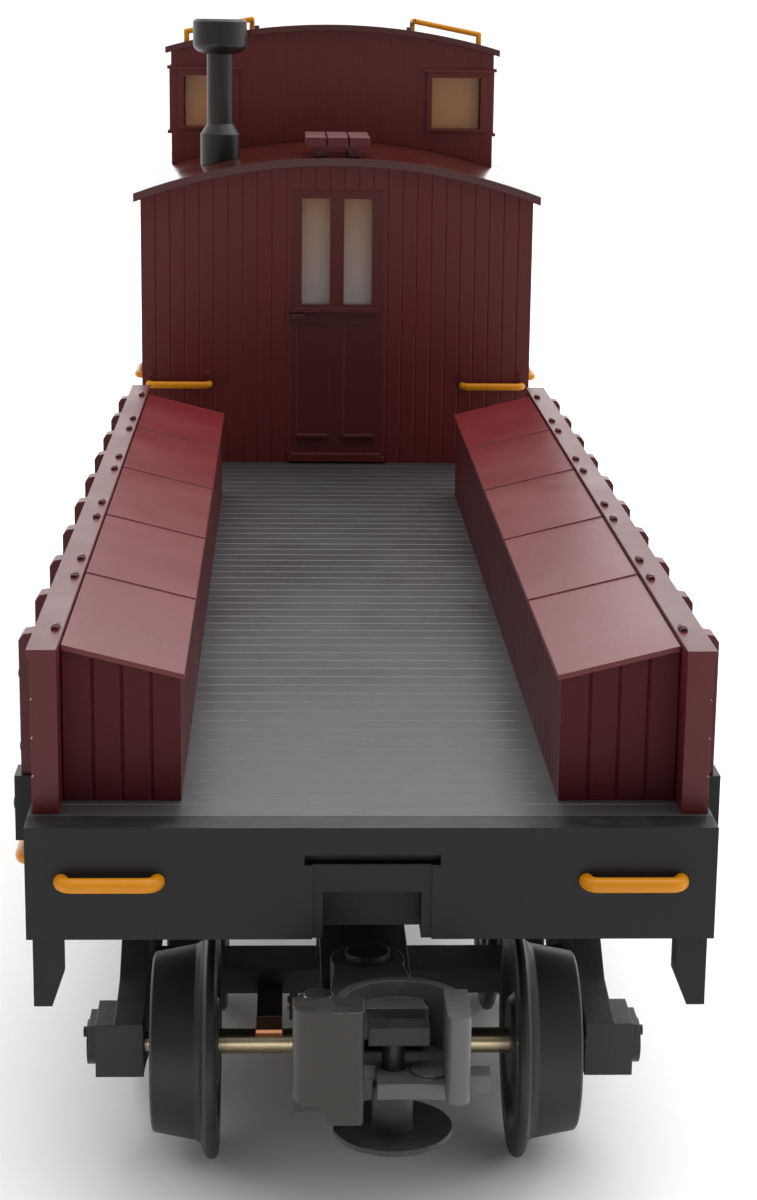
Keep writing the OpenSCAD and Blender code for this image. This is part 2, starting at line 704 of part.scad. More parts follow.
// End railing of the rear platform: posts, a top rail and a middle rail with a gap for the steps.
rail_y = rear_y - 1.2;
module rear_railing() {
    z0 = deck_z - 0.5;
    z1 = deck_z + 18;
    x1 = body_w / 2 - 2.5;
    d = 1.2;
    color(yellow) both_sides() {
        for (x = [9, 18, x1]) wire([x, rail_y, z0], [x, rail_y, z1], d);
        wire([9, rail_y, z1], [x1, rail_y, z1], d);
        wire([9, rail_y, deck_z + 9], [x1, rail_y, deck_z + 9], d);
        wire([x1, rail_y, z1], [x1, cabin_y1 + 3.5, z1], d);
        wire([x1, cabin_y1 + 3.5, z1], [x1, cabin_y1 + 3.5, z0], d);
    }
}

// Ladder bolted to the rear wall: two stiles and rungs.
ladder_x = 14.6;
module roof_ladder() {
    y = cabin_y1 + 2;
    z1 = deck_z + eave_h + 0.5;
    half = 3;
    rungs = 8;
    d = 1;
    color(black) {
        for (x = [ladder_x - half, ladder_x + half]) {
            box(x - 0.5, x + 0.5, y - 0.4, y + 0.4, deck_z, z1);
            for (z = [deck_z + 4, z1 - 4]) rod_y(0.4, cabin_y1 - 0.5, y, x, z, $fn = fillet_fn);
        }
        for (i = [0 : rungs - 1])
            rod_x(d / 2, ladder_x - half, ladder_x + half, y,
                  deck_z + 3 + i * (z1 - deck_z - 6) / (rungs - 1), $fn = fillet_fn);
    }
}

// Brake staff on the rear platform, with the wheel on its top.
staff_x = -13;
staff_y = rear_y - 3.4;
staff_r = 0.5;
staff_z = deck_z + 24;
module brake_stand() {
    color(black) translate([staff_x, staff_y, 0]) {
        translate([0, 0, deck_z]) cylinder(r = 1.8, h = 1.2);
        translate([0, 0, deck_z + 1.2]) cylinder(r = 0.75, h = staff_z - deck_z - 1.2);
        translate([0, 0, staff_z]) cylinder(r = staff_r, h = 2);
        translate([0, 0, staff_z + 1.7]) cylinder(r = 0.9, h = 0.5);
        translate([0, 0, deck_z + 9]) rotate([-90, 0, 0]) cylinder(r = 0.5, h = rail_y - staff_y - 0.6);
        translate([0, 0, deck_z + 8.4]) cylinder(r = 1.1, h = 1.2);
    }
}

module brake_wheel() {
    rim_r = 5;
    hub_r = 1.3;
    z = staff_z + 0.8;
    color(black) translate([staff_x, staff_y, z]) difference() {
        union() {
            rotate_extrude() translate([rim_r, 0]) circle(r = 0.45, $fn = fillet_fn);
            cylinder(r = hub_r, h = 1.5, center = true);
            for (a = [0 : 72 : 288]) rotate([0, 0, a]) rod_x(0.35, hub_r - 0.3, rim_r, 0, 0, $fn = fillet_fn);
        }
        cylinder(r = staff_r + run_gap, h = 4, center = true);
    }
}

// ---------------------------------------------------------------- inside the body

module ballast_weight() {
    color(steel) difference() {
        box(-18, 18, cabin_y0 + 12, cabin_y1 - 12, floor_top, floor_top + 4);
        for (y = [cabin_y0 + 20, cabin_y1 - 20]) translate([0, y, floor_top - 1])
            cylinder(r = 1.6, h = 6);
    }
}

// Light board across the cabin's ceiling, with two round lamps below it.
module light_board() {
    z = deck_z + eave_h - 2.4;
    x_in = cabin_x - shell_t;
    y = cabin_y0 + 16;
    color([0.1, 0.35, 0.2]) {
        box(-x_in, x_in, y, y + 26, z, z + 1);
        for (x = [-12, 12]) translate([x, y + 13, z - 2.6]) {
            cylinder(r = 1.5, h = 2.6 + eps, $fn = fillet_fn);
            sphere(r = 1.5, $fn = fillet_fn);
        }
    }
}

// Screws on one axis with each truck, and two that hold the ballast to the floor.
module frame_screws() {
    head_h = 1.6;
    color(steel) {
        for (s = [-1, 1]) translate([0, s * (body_l / 2 - truck_inset), 0]) difference() {
            union() {
                translate([0, 0, transom_z0 - head_h - 0.15]) cylinder(r = 2.5, h = head_h);
                translate([0, 0, transom_z0 - 0.2]) cylinder(r = pivot_r, h = floor_top - 1 - transom_z0);
            }
            box(-2.6, 2.6, -0.3, 0.3, transom_z0 - head_h - 1, transom_z0 - head_h + 0.5);
        }
        for (y = [cabin_y0 + 20, cabin_y1 - 20]) translate([0, y, floor_top]) {
            cylinder(r = 1.6, h = 4);
            translate([0, 0, 4]) cylinder(r = 2.4, h = 1.4);
        }
    }
}

// ---------------------------------------------------------------- trucks

module front_truck() translate([0, front_y + truck_inset, 0]) children();
module rear_truck() rotate([0, 0, 180]) front_truck() children();

// Transom with the pivot boss, the coupler's tongue and the pickup's lugs.
module truck_frame() {
    lug_x = 6.2;
    tongue_x = 4.2;
    color(black) difference() {
        union() {
            box(-frame_x0, frame_x0, -transom_y, transom_y, transom_z0, transom_z1);
            translate([0, 0, transom_z1 - eps]) cylinder(r = 4.4, h = pad_bottom - transom_z1 - 0.1);
            box(-tongue_x, tongue_x, rivet_y, 0, tongue_z0, tongue_z1);
            translate([0, rivet_y, tongue_z0]) cylinder(r = tongue_x, h = tongue_z1 - tongue_z0);
            both_sides() box(lug_x, lug_x + 0.9, arm_pivot[0] - 1.3, arm_pivot[0] + 1.3,
                             arm_pivot[1] - 1.3, transom_z0 + eps);
            box(wiper_x[0], wiper_x[1], wiper_y + wiper_t, -transom_y + eps, transom_z0, transom_z0 + 1);
        }
        cylinder(r = pivot_r + run_gap, h = 60);
        translate([0, rivet_y, 0]) cylinder(r = rivet_r, h = 60);
        rod_x(spindle_r + run_gap, -10, 10, arm_pivot[0], arm_pivot[1], $fn = fillet_fn);
    }
}

// Cast side frame with its journal boxes and spring nest, drawn for +X.
module one_side_frame() {
    post_y = 5;
    chord_z = axle_z + 8;
    low_z = axle_z - 5.8;
    box_y = 3;
    box_up = 2.9;
    box_down = 2.3;
    cap_r = 2.1;
    difference() {
        union() {
            along_x(frame_x0, frame_x1) polygon([
                [-axle_y - box_y, axle_z - 2], [-axle_y + 3, axle_z - 3.2], [-post_y - 1, low_z],
                [post_y + 1, low_z], [axle_y - 3, axle_z - 3.2], [axle_y + box_y, axle_z - 2],
                [axle_y + box_y, axle_z + 3], [axle_y - 5, axle_z + 4.2], [post_y + 2, chord_z],
                [-post_y - 2, chord_z], [-axle_y + 5, axle_z + 4.2], [-axle_y - box_y, axle_z + 3]]);
            for (s = [-1, 1]) {
                box(frame_x0, box_x1, s * axle_y - box_y, s * axle_y + box_y,
                    axle_z - box_down, axle_z + box_up);
                box(box_x1 - eps, box_x1 + 0.7, s * axle_y - cap_r, s * axle_y + cap_r,
                    axle_z, axle_z + box_up - 0.5);
                rod_x(cap_r, box_x1 - eps, box_x1 + 0.9, s * axle_y, axle_z);
                rod_x(0.5, box_x1, box_x1 + 1.3, s * axle_y, axle_z + 1, $fn = fillet_fn);
            }
            box(frame_x1 - eps, frame_x1 + 0.8, -post_y - 2, post_y + 2, chord_z - 1.4, chord_z);
            box(frame_x1 - eps, frame_x1 + 0.8, -post_y - 1, post_y + 1, low_z, low_z + 1.3);
        }
        for (s = [-1, 1]) {
            along_x(frame_x0 - 1, frame_x1 + 2) polygon([
                [s * (post_y + 1.6), axle_z - 3.4], [s * (axle_y - 4.6), axle_z - 1.4],
                [s * (axle_y - 4.6), axle_z + 2.6], [s * (post_y + 1.6), axle_z + 5.6]]);
            rod_x(journal_r + run_gap, frame_x0 - 1, frame_x0 + 3.2, s * axle_y, axle_z);
        }
        box(frame_x0 - 1, frame_x1 + 2, -post_y + 0.8, post_y - 0.8, low_z + 1.3, axle_z - 0.2);
    }
    // Two coil springs: a profile of stacked round turns, turned about an upright axis
    spring_z0 = low_z + 1.3;
    spring_h = axle_z - 0.2 - spring_z0;
    turns = 5;
    for (y = [-2, 2]) translate([frame_x0 + 1.5, y, spring_z0]) rotate_extrude()
        polygon(concat([[0, 0]],
            [for (i = [0 : 4 * turns]) [1.15 + 0.3 * cos(i * 90), i * spring_h / (4 * turns)]],
            [[0, spring_h]]));
}

module side_frames() {
    color(black) both_sides() one_side_frame();
}

// Axle with smaller journals at its ends.
module axle(y) {
    color(brass) {
        rod_x(axle_r, -wheel_x1 - 0.3, wheel_x1 + 0.3, y, axle_z);
        both_sides() rod_x(journal_r, wheel_x1, frame_x0 + 3, y, axle_z);
    }
}

// A pair of wheels: flange, coned tread and dished faces, turned about the axle.
module wheels(y) {
    tread_r0 = flange_r - 1.8;
    tread_r1 = flange_r - 2.7;
    color(black) both_sides() translate([wheel_x0, y, axle_z]) rotate([0, 90, 0]) rotate_extrude()
        polygon([
            [axle_r, 0], [4, 0], [4.6, 0.7], [7.6, 0.7], [8.2, 0], [flange_r - 0.5, 0],
            [flange_r - 0.1, 0.25], [flange_r, 0.6], [flange_r - 0.1, 0.95], [flange_r - 0.5, 1.25],
            [tread_r0 + 0.3, 1.6], [tread_r0, 2.1], [tread_r1 + 0.15, wheel_w - 0.2],
            [tread_r1 - 0.1, wheel_w], [tread_r1 - 1.3, wheel_w], [tread_r1 - 1.7, wheel_w - 1],
            [3.6, wheel_w - 1.5], [3, wheel_w], [axle_r, wheel_w]]);
}

// Copper strip on the transom's carrier, up behind the outer axle and over its top.
module axle_wiper() {
    top = axle_z + axle_r + run_gap;
    color(copper) along_x(wiper_x[0], wiper_x[1]) polygon([
        [wiper_y, transom_z0], [wiper_y, top], [-axle_y - axle_r, top], [-axle_y - axle_r, top + wiper_t],
        [wiper_y + wiper_t, top + wiper_t], [wiper_y + wiper_t, transom_z0]]);
}

// Sprung arm with the pickup roller's spindle and its own pivot pin.
module pickup_arm() {
    plate_t = 0.7;
    x0 = roller_x + 0.2;
    w = 1.1;
    strap_c = arm_pivot + 0.56 * (roller_c - arm_pivot);
    color(copper) {
        both_sides() {
            along_x(x0, x0 + plate_t) polygon([
                [arm_pivot[0] - 1.2, arm_pivot[1] - w], [arm_pivot[0] - 1.2, arm_pivot[1] + w],
                [arm_pivot[0] + 1.2, arm_pivot[1] + w], [roller_c[0] + 1.2, roller_c[1] + w],
                [roller_c[0] + 1.2, roller_c[1] - w], [roller_c[0] - 1.6, roller_c[1] - w]]);
            rod_x(spindle_r, x0 + 0.2, 7.3, arm_pivot[0], arm_pivot[1], $fn = fillet_fn);
        }
        box(-x0 - eps, x0 + eps, strap_c[0] - 0.9, strap_c[0] + 0.9, strap_c[1] - 0.35, strap_c[1] + 0.35);
        rod_x(spindle_r, -x0 - plate_t - 0.3, x0 + plate_t + 0.3, roller_c[0], roller_c[1], $fn = fillet_fn);
    }
}

module pickup_roller() {
    color(brass) translate([-roller_x, roller_c[0], roller_c[1]]) rotate([0, 90, 0]) rotate_extrude()
        polygon([
            [spindle_r + run_gap, 0], [roller_r - 0.3, 0], [roller_r, 0.4],
            [roller_r, 2 * roller_x - 0.4], [roller_r - 0.3, 2 * roller_x],
            [spindle_r + run_gap, 2 * roller_x]]);
}

module coupler_rivet() {
    color(steel) translate([0, rivet_y, 0]) {
        translate([0, 0, tongue_z0 - 0.6]) cylinder(r = 2, h = 0.6);
        translate([0, 0, tongue_z0 - eps]) cylinder(r = rivet_r, h = shank_z1 + 0.1 - tongue_z0);
        translate([0, 0, shank_z1 + 0.08]) cylinder(r = 2, h = 0.7);
    }
}

// ---------------------------------------------------------------- coupler

// Shank and head: a round back wall, a guard arm, a floor and the knuckle's lug.
module coupler() {
    color(die_cast) difference() {
        union() {
            translate([0, rivet_y, shank_z0]) cylinder(r = 3.4, h = shank_z1 - shank_z0);
            translate([0, 0, shank_z0]) linear_extrude(shank_z1 - shank_z0)
                polygon([[-3, rivet_y], [-3.6, sill_y + 1], [-2.6, sill_y - 1.5], [5, sill_y - 1.5],
                         [4.4, sill_y + 1], [3, rivet_y]]);
            difference() {
                translate([head_c[0], head_c[1], head_z0]) cylinder(r = head_r, h = head_z1 - head_z0);
                translate([head_c[0], head_c[1], head_z0 + head_floor_t])
                    cylinder(r = head_r - head_t, h = head_z1 - head_z0);
                box(head_c[0] - 10, head_c[0] + 10, head_c[1] - 10, head_c[1] - 0.01,
                    head_z0 - 1, head_z1 + 1);
            }
            box(head_c[0] + head_r - 2, head_c[0] + head_r, arm_y, head_c[1],
                head_z0 + 0.6, arm_z1);
            translate([head_c[0] + head_r - 1, arm_y, head_z0 + 0.6])
                cylinder(r = 1, h = arm_z1 - head_z0 - 0.6, $fn = fillet_fn);
            box(0.3, head_c[0] + head_r, head_c[1] - 4, head_c[1] + 1, head_z0, head_z0 + head_floor_t);
            translate([5, head_c[1] - 1.4, head_z0]) cylinder(r = 1.7, h = head_floor_t + 0.3);
            translate([pin_c[0], pin_c[1], lug_z0]) cylinder(r = 2, h = lug_z1 - lug_z0);
            box(pin_c[0] - 1.4, pin_c[0] + 2.6, pin_c[1], pin_c[1] + 3.6, lug_z0, lug_z1);
            box(pin_c[0] + 0.5, pin_c[0] + 4, pin_c[1] + 2.6, sill_y + 0.4, shank_z0, lug_z1);
            box(head_c[0] + head_r - eps, head_c[0] + head_r + 1.9, arm_y + 1, arm_y + 3,
                head_z0 + 0.8, head_z0 + 2.4);
        }
        translate([0, rivet_y, 0]) cylinder(r = rivet_r + run_gap, h = 60);
        translate([pin_c[0], pin_c[1], 0]) cylinder(r = pin_r, h = 60);
        for (z = [[head_z0 - 1, lug_z0], [lug_z1, head_z1 + 1]])
            translate([pin_c[0], pin_c[1], z[0]]) cylinder(r = 2.3, h = z[1] - z[0]);
        translate([lock_c[0], lock_c[1], 0]) cylinder(r = lock_r + run_gap, h = head_z0 + head_floor_t + 0.4);
    }
}

// Hook of the coupler: a deep face on a fork round the pin.
module knuckle() {
    y1 = pin_c[1] - 2.3;
    x0 = -6.9;
    x1 = -0.9;
    r0 = 1.8;
    r1 = 0.5;
    fork_gap = 0.2;
    notch = [2.7, 1.8];   // cut from the lower outer corner of the face
    color(die_cast) difference() {
        union() {
            translate([0, 0, knuckle_z0]) linear_extrude(knuckle_z1 - knuckle_z0)
                polygon(concat([[x1, y1], [x0, y1]],
                    [for (a = [180 : 15 : 270]) [x0 + r0 + r0 * cos(a), knuckle_y0 + r0 + r0 * sin(a)]],
                    [for (a = [270 : 15 : 360]) [x1 - r1 + r1 * cos(a), knuckle_y0 + r1 + r1 * sin(a)]]));
            for (z = [[knuckle_z0, lug_z0 - fork_gap], [lug_z1 + fork_gap, fork_z1]]) {
                translate([pin_c[0], pin_c[1], z[0]]) cylinder(r = 2, h = z[1] - z[0]);
                box(pin_c[0] - 2, pin_c[0] + 2, y1 - eps, pin_c[1], z[0], z[1]);
            }
        }
        translate([pin_c[0], pin_c[1], 0]) cylinder(r = pin_r + run_gap, h = 60);
        along_y(knuckle_y0 - 1, y1 - 0.6) polygon([
            [x0 - 1, knuckle_z0 - 1], [x0 + notch[0], knuckle_z0 - 1],
            [x0 + notch[0], knuckle_z0 + notch[1] - 0.7], [x0 + notch[0] - 0.7, knuckle_z0 + notch[1]],
            [x0 - 1, knuckle_z0 + notch[1]]]);
    }
}

module knuckle_pin() {
    color(steel) translate([pin_c[0], pin_c[1], 0]) {
        translate([0, 0, knuckle_z0 - 0.3]) cylinder(r = pin_r, h = fork_z1 - knuckle_z0 + 0.4);
        translate([0, 0, fork_z1 + 0.08]) cylinder(r = 1.25, h = 0.5);
    }
}

// Armature disc with its sliding pin and lock block.
module armature() {
    block_z0 = head_z0 + 3.8;
    disc_t = 0.5;
    sleeve_r = 1.8;
    color(black) translate([lock_c[0], lock_c[1], disc_z1]) {
        translate([0, 0, -disc_t]) cylinder(r = disc_r, h = disc_t);
        translate([0, 0, -eps]) cylinder(r = sleeve_r, h = head_z0 - disc_z1 - 0.2);
        translate([0, 0, -eps]) cylinder(r = lock_r, h = block_z0 - disc_z1 + 0.5);
    }
    color(die_cast) box(-0.4, 4.9, lock_c[1] - 1.1, lock_c[1] + 1.1, block_z0, block_z0 + 1.6);
}

// ---------------------------------------------------------------- nodes

underframe();
bolster_pads();
deck();
end_sill();  // front_end_sill
rear_end() end_sill();  // rear_end_sill
corner_steps();
mirror([1, 0, 0]) side_wall();  // side_wall_left
side_wall();  // side_wall_right
mirror([1, 0, 0]) toolbox();  // toolbox_left
toolbox();  // toolbox_right
mirror([1, 0, 0]) toolbox_lids();  // toolbox_lids_left
toolbox_lids();  // toolbox_lids_right
cabin_shell();
cabin_roof();
door();  // front_door
translate([0, cabin_y0 + cabin_y1, 0]) rotate([0, 0, 180]) door();  // rear_door
window_glazing();
cupola_shell();
cupola_roof();
running_board();
smoke_jack();
sill_grab_irons();
cabin_grab_irons();
roof_grab_irons();
rear_railing();
roof_ladder();
brake_stand();
brake_wheel();
ballast_weight();
light_board();
frame_screws();
front_truck() truck_frame();  // front_truck_frame
front_truck() side_frames();  // front_side_frames
front_truck() axle(-axle_y);  // front_outer_axle
front_truck() wheels(-axle_y);  // front_outer_wheels
front_truck() axle(axle_y);  // front_inner_axle
front_truck() wheels(axle_y);  // front_inner_wheels
front_truck() axle_wiper();  // front_axle_wiper
front_truck() pickup_arm();  // front_pickup_arm
front_truck() pickup_roller();  // front_pickup_roller
front_truck() coupler_rivet();  // front_coupler_rivet
front_truck() coupler();  // front_coupler
front_truck() knuckle();  // front_knuckle
front_truck() knuckle_pin();  // front_knuckle_pin
front_truck() armature();  // front_armature
rear_truck() truck_frame();  // rear_truck_frame
rear_truck() side_frames();  // rear_side_frames
rear_truck() axle(-axle_y);  // rear_outer_axle
rear_truck() wheels(-axle_y);  // rear_outer_wheels
rear_truck() axle(axle_y);  // rear_inner_axle
rear_truck() wheels(axle_y);  // rear_inner_wheels
rear_truck() axle_wiper();  // rear_axle_wiper
rear_truck() pickup_arm();  // rear_pickup_arm
rear_truck() pickup_roller();  // rear_pickup_roller
rear_truck() coupler_rivet();  // rear_coupler_rivet
rear_truck() coupler();  // rear_coupler
rear_truck() knuckle();  // rear_knuckle
rear_truck() knuckle_pin();  // rear_knuckle_pin
rear_truck() armature();  // rear_armature
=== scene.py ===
"""Looks of a 1:48 work caboose: finishes for its moulded, cast and wire parts, and the fine pieces on them."""

import json
import math

import bpy
import numpy as np
from mathutils import Matrix, Vector


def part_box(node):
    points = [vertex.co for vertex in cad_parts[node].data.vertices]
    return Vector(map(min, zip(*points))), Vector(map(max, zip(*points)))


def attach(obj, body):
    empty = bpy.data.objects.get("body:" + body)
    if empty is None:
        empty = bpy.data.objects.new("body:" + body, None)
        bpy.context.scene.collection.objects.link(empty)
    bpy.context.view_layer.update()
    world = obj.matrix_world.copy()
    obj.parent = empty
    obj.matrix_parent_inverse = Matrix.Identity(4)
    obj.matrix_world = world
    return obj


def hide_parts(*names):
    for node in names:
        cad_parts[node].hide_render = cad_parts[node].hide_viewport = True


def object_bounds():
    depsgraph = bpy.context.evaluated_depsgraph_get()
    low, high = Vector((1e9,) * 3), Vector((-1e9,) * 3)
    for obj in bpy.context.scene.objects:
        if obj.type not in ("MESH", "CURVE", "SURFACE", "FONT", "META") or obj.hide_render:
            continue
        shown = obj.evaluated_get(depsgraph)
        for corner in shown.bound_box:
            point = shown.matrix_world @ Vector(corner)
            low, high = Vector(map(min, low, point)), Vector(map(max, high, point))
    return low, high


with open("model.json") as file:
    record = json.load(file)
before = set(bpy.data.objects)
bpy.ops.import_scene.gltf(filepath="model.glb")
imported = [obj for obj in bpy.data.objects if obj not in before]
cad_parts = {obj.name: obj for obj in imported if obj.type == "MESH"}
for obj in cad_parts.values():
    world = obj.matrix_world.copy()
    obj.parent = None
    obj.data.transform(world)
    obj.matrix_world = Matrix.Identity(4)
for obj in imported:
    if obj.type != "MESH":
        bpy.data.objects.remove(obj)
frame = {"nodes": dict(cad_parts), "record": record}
cad_low, cad_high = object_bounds()
nodes = frame["nodes"]
scene = bpy.context.scene
MM = 0.001

# ---------------------------------------------------------------- node helpers


def add(tree, kind, **settings):
    """A shader node: keywords set its properties, and `values` sets its sockets by name or by number."""
    node = tree.nodes.new(kind)
    values = settings.pop("values", {})
    for key, value in settings.items():
        setattr(node, key, value)
    for key, value in values.items():
        node.inputs[key].default_value = value
    return node


def link(tree, out_socket, in_socket):
    """Joins an output to an input."""
    tree.links.new(out_socket, in_socket)


def new_group(name, inputs, outputs):
    """An empty shader group; inputs and outputs are lists of (name, type, default)."""
    tree = bpy.data.node_groups.new(name, "ShaderNodeTree")
    for label, kind, default in inputs:
        socket = tree.interface.new_socket(name=label, in_out="INPUT", socket_type=kind)
        if default is not None:
            socket.default_value = default
    for label, kind, _ in outputs:
        tree.interface.new_socket(name=label, in_out="OUTPUT", socket_type=kind)
    start = tree.nodes.new("NodeGroupInput")
    end = tree.nodes.new("NodeGroupOutput")
    return tree, start, end


FLOAT, COLOUR, VECTOR = "NodeSocketFloat", "NodeSocketColor", "NodeSocketVector"


def edge_wear_group():
    """Edges: how far a small bevel turns the surface's normal, broken up by noise."""
    tree, start, end = new_group(
        "edge_wear",
        [("Radius", FLOAT, 0.0002), ("Breakup", FLOAT, 900.0), ("Amount", FLOAT, 1.0)],
        [("Mask", FLOAT, None), ("Normal", VECTOR, None)],
    )
    bevel = add(tree, "ShaderNodeBevel", samples=4)
    link(tree, start.outputs["Radius"], bevel.inputs["Radius"])
    geometry = add(tree, "ShaderNodeNewGeometry")
    dot = add(tree, "ShaderNodeVectorMath", operation="DOT_PRODUCT")
    link(tree, bevel.outputs["Normal"], dot.inputs[0])
    link(tree, geometry.outputs["Normal"], dot.inputs[1])
    turned = add(tree, "ShaderNodeMapRange", values={"From Min": 0.995, "From Max": 0.8})
    link(tree, dot.outputs["Value"], turned.inputs["Value"])
    where = add(tree, "ShaderNodeTexCoord")
    noise = add(tree, "ShaderNodeTexNoise", values={"Detail": 4.0, "Roughness": 0.6})
    link(tree, where.outputs["Object"], noise.inputs["Vector"])
    link(tree, start.outputs["Breakup"], noise.inputs["Scale"])
    patch = add(tree, "ShaderNodeMapRange", values={"From Min": 0.42, "From Max": 0.62})
    link(tree, noise.outputs["Fac"], patch.inputs["Value"])
    both = add(tree, "ShaderNodeMath", operation="MULTIPLY")
    link(tree, turned.outputs["Result"], both.inputs[0])
    link(tree, patch.outputs["Result"], both.inputs[1])
    scaled = add(tree, "ShaderNodeMath", operation="MULTIPLY")
    link(tree, both.outputs["Value"], scaled.inputs[0])
    link(tree, start.outputs["Amount"], scaled.inputs[1])
    link(tree, scaled.outputs["Value"], end.inputs["Mask"])
    link(tree, bevel.outputs["Normal"], end.inputs["Normal"])
    return tree


def mould_grain_group():
    """Moulded surface: fine orange peel, slow waves and cloudy tone."""
    tree, start, end = new_group(
        "mould_grain",
        [("Fine Scale", FLOAT, 2600.0), ("Wave Scale", FLOAT, 160.0), ("Wave Share", FLOAT, 0.5)],
        [("Height", FLOAT, None), ("Cloud", FLOAT, None)],
    )
    where = add(tree, "ShaderNodeTexCoord")
    fine = add(tree, "ShaderNodeTexNoise", values={"Detail": 3.0, "Roughness": 0.55})
    wave = add(tree, "ShaderNodeTexNoise", values={"Detail": 2.0, "Roughness": 0.5})
    cloud = add(tree, "ShaderNodeTexNoise", values={"Scale": 60.0, "Detail": 5.0, "Roughness": 0.6})
    for noise in (fine, wave, cloud):
        link(tree, where.outputs["Object"], noise.inputs["Vector"])
    link(tree, start.outputs["Fine Scale"], fine.inputs["Scale"])
    link(tree, start.outputs["Wave Scale"], wave.inputs["Scale"])
    mixed = add(tree, "ShaderNodeMix", data_type="FLOAT")
    link(tree, start.outputs["Wave Share"], mixed.inputs["Factor"])
    link(tree, fine.outputs["Fac"], mixed.inputs["A"])
    link(tree, wave.outputs["Fac"], mixed.inputs["B"])
    link(tree, mixed.outputs["Result"], end.inputs["Height"])
    link(tree, cloud.outputs["Fac"], end.inputs["Cloud"])
    return tree


def board_grain_group():
    """Boards: noise stretched along one direction, with a tone for each board from its place across them."""
    tree, start, end = new_group(
        "board_grain",
        [("Stretch", VECTOR, (1.0, 1.0, 1.0)), ("Across", VECTOR, (0.0, 1.0, 0.0)),
         ("Boards Per Metre", FLOAT, 300.0), ("Offset", FLOAT, 0.0)],
        [("Height", FLOAT, None), ("Tone", FLOAT, None)],
    )
    where = add(tree, "ShaderNodeTexCoord")
    stretched = add(tree, "ShaderNodeVectorMath", operation="MULTIPLY")
    link(tree, where.outputs["Object"], stretched.inputs[0])
    link(tree, start.outputs["Stretch"], stretched.inputs[1])
    fibre = add(tree, "ShaderNodeTexNoise", values={"Scale": 1.0, "Detail": 5.0, "Roughness": 0.6,
                                                     "Distortion": 0.4})
    link(tree, stretched.outputs["Vector"], fibre.inputs["Vector"])
    across = add(tree, "ShaderNodeVectorMath", operation="DOT_PRODUCT")
    link(tree, where.outputs["Object"], across.inputs[0])
    link(tree, start.outputs["Across"], across.inputs[1])
    count = add(tree, "ShaderNodeMath", operation="MULTIPLY_ADD")
    link(tree, across.outputs["Value"], count.inputs[0])
    link(tree, start.outputs["Boards Per Metre"], count.inputs[1])
    link(tree, start.outputs["Offset"], count.inputs[2])
    whole = add(tree, "ShaderNodeMath", operation="FLOOR")
    link(tree, count.outputs["Value"], whole.inputs[0])
    tone = add(tree, "ShaderNodeTexWhiteNoise", noise_dimensions="1D")
    link(tree, whole.outputs["Value"], tone.inputs["W"])
    link(tree, fibre.outputs["Fac"], end.inputs["Height"])
    link(tree, tone.outputs["Value"], end.inputs["Tone"])
    return tree


def dust_group():
    """Dust: more on faces that look up, in patches."""
    tree, start, end = new_group(
        "dust", [("Scale", FLOAT, 350.0), ("Amount", FLOAT, 0.3)], [("Mask", FLOAT, None)]
    )
    geometry = add(tree, "ShaderNodeNewGeometry")
    parts = add(tree, "ShaderNodeSeparateXYZ")
    link(tree, geometry.outputs["Normal"], parts.inputs["Vector"])
    up = add(tree, "ShaderNodeMapRange", values={"From Min": 0.1, "From Max": 1.0})
    link(tree, parts.outputs["Z"], up.inputs["Value"])
    where = add(tree, "ShaderNodeTexCoord")
    noise = add(tree, "ShaderNodeTexNoise", values={"Detail": 6.0, "Roughness": 0.65})
    link(tree, where.outputs["Object"], noise.inputs["Vector"])
    link(tree, start.outputs["Scale"], noise.inputs["Scale"])
    patch = add(tree, "ShaderNodeMapRange", values={"From Min": 0.45, "From Max": 0.75})
    link(tree, noise.outputs["Fac"], patch.inputs["Value"])
    both = add(tree, "ShaderNodeMath", operation="MULTIPLY")
    link(tree, up.outputs["Result"], both.inputs[0])
    link(tree, patch.outputs["Result"], both.inputs[1])
    scaled = add(tree, "ShaderNodeMath", operation="MULTIPLY")
    link(tree, both.outputs["Value"], scaled.inputs[0])
    link(tree, start.outputs["Amount"], scaled.inputs[1])
    link(tree, scaled.outputs["Value"], end.inputs["Mask"])
    return tree


GROUPS = {
    "edge": edge_wear_group(),
    "grain": mould_grain_group(),
    "boards": board_grain_group(),
    "dust": dust_group(),
}


def use(tree, name, **values):
    """A node that stands for one of the groups; an underscore in a keyword is a space in the socket's name."""
    node = tree.nodes.new("ShaderNodeGroup")
    node.node_tree = GROUPS[name]
    for key, value in values.items():
        node.inputs[key.replace("_", " ")].default_value = value
    return node


def blend_colour(tree, factor, a, b):
    """Mixes two colours, each a constant or a socket, by a factor socket."""
    mix = add(tree, "ShaderNodeMix", data_type="RGBA")
    link(tree, factor, mix.inputs[0])
    for socket, value in ((mix.inputs[6], a), (mix.inputs[7], b)):
        if isinstance(value, tuple):
            socket.default_value = (*value, 1.0)
        else:
            link(tree, value, socket)
    return mix.outputs[2]


EDGE_RADIUS = 0.18 * MM
DUST_COLOUR = (0.3, 0.28, 0.25)


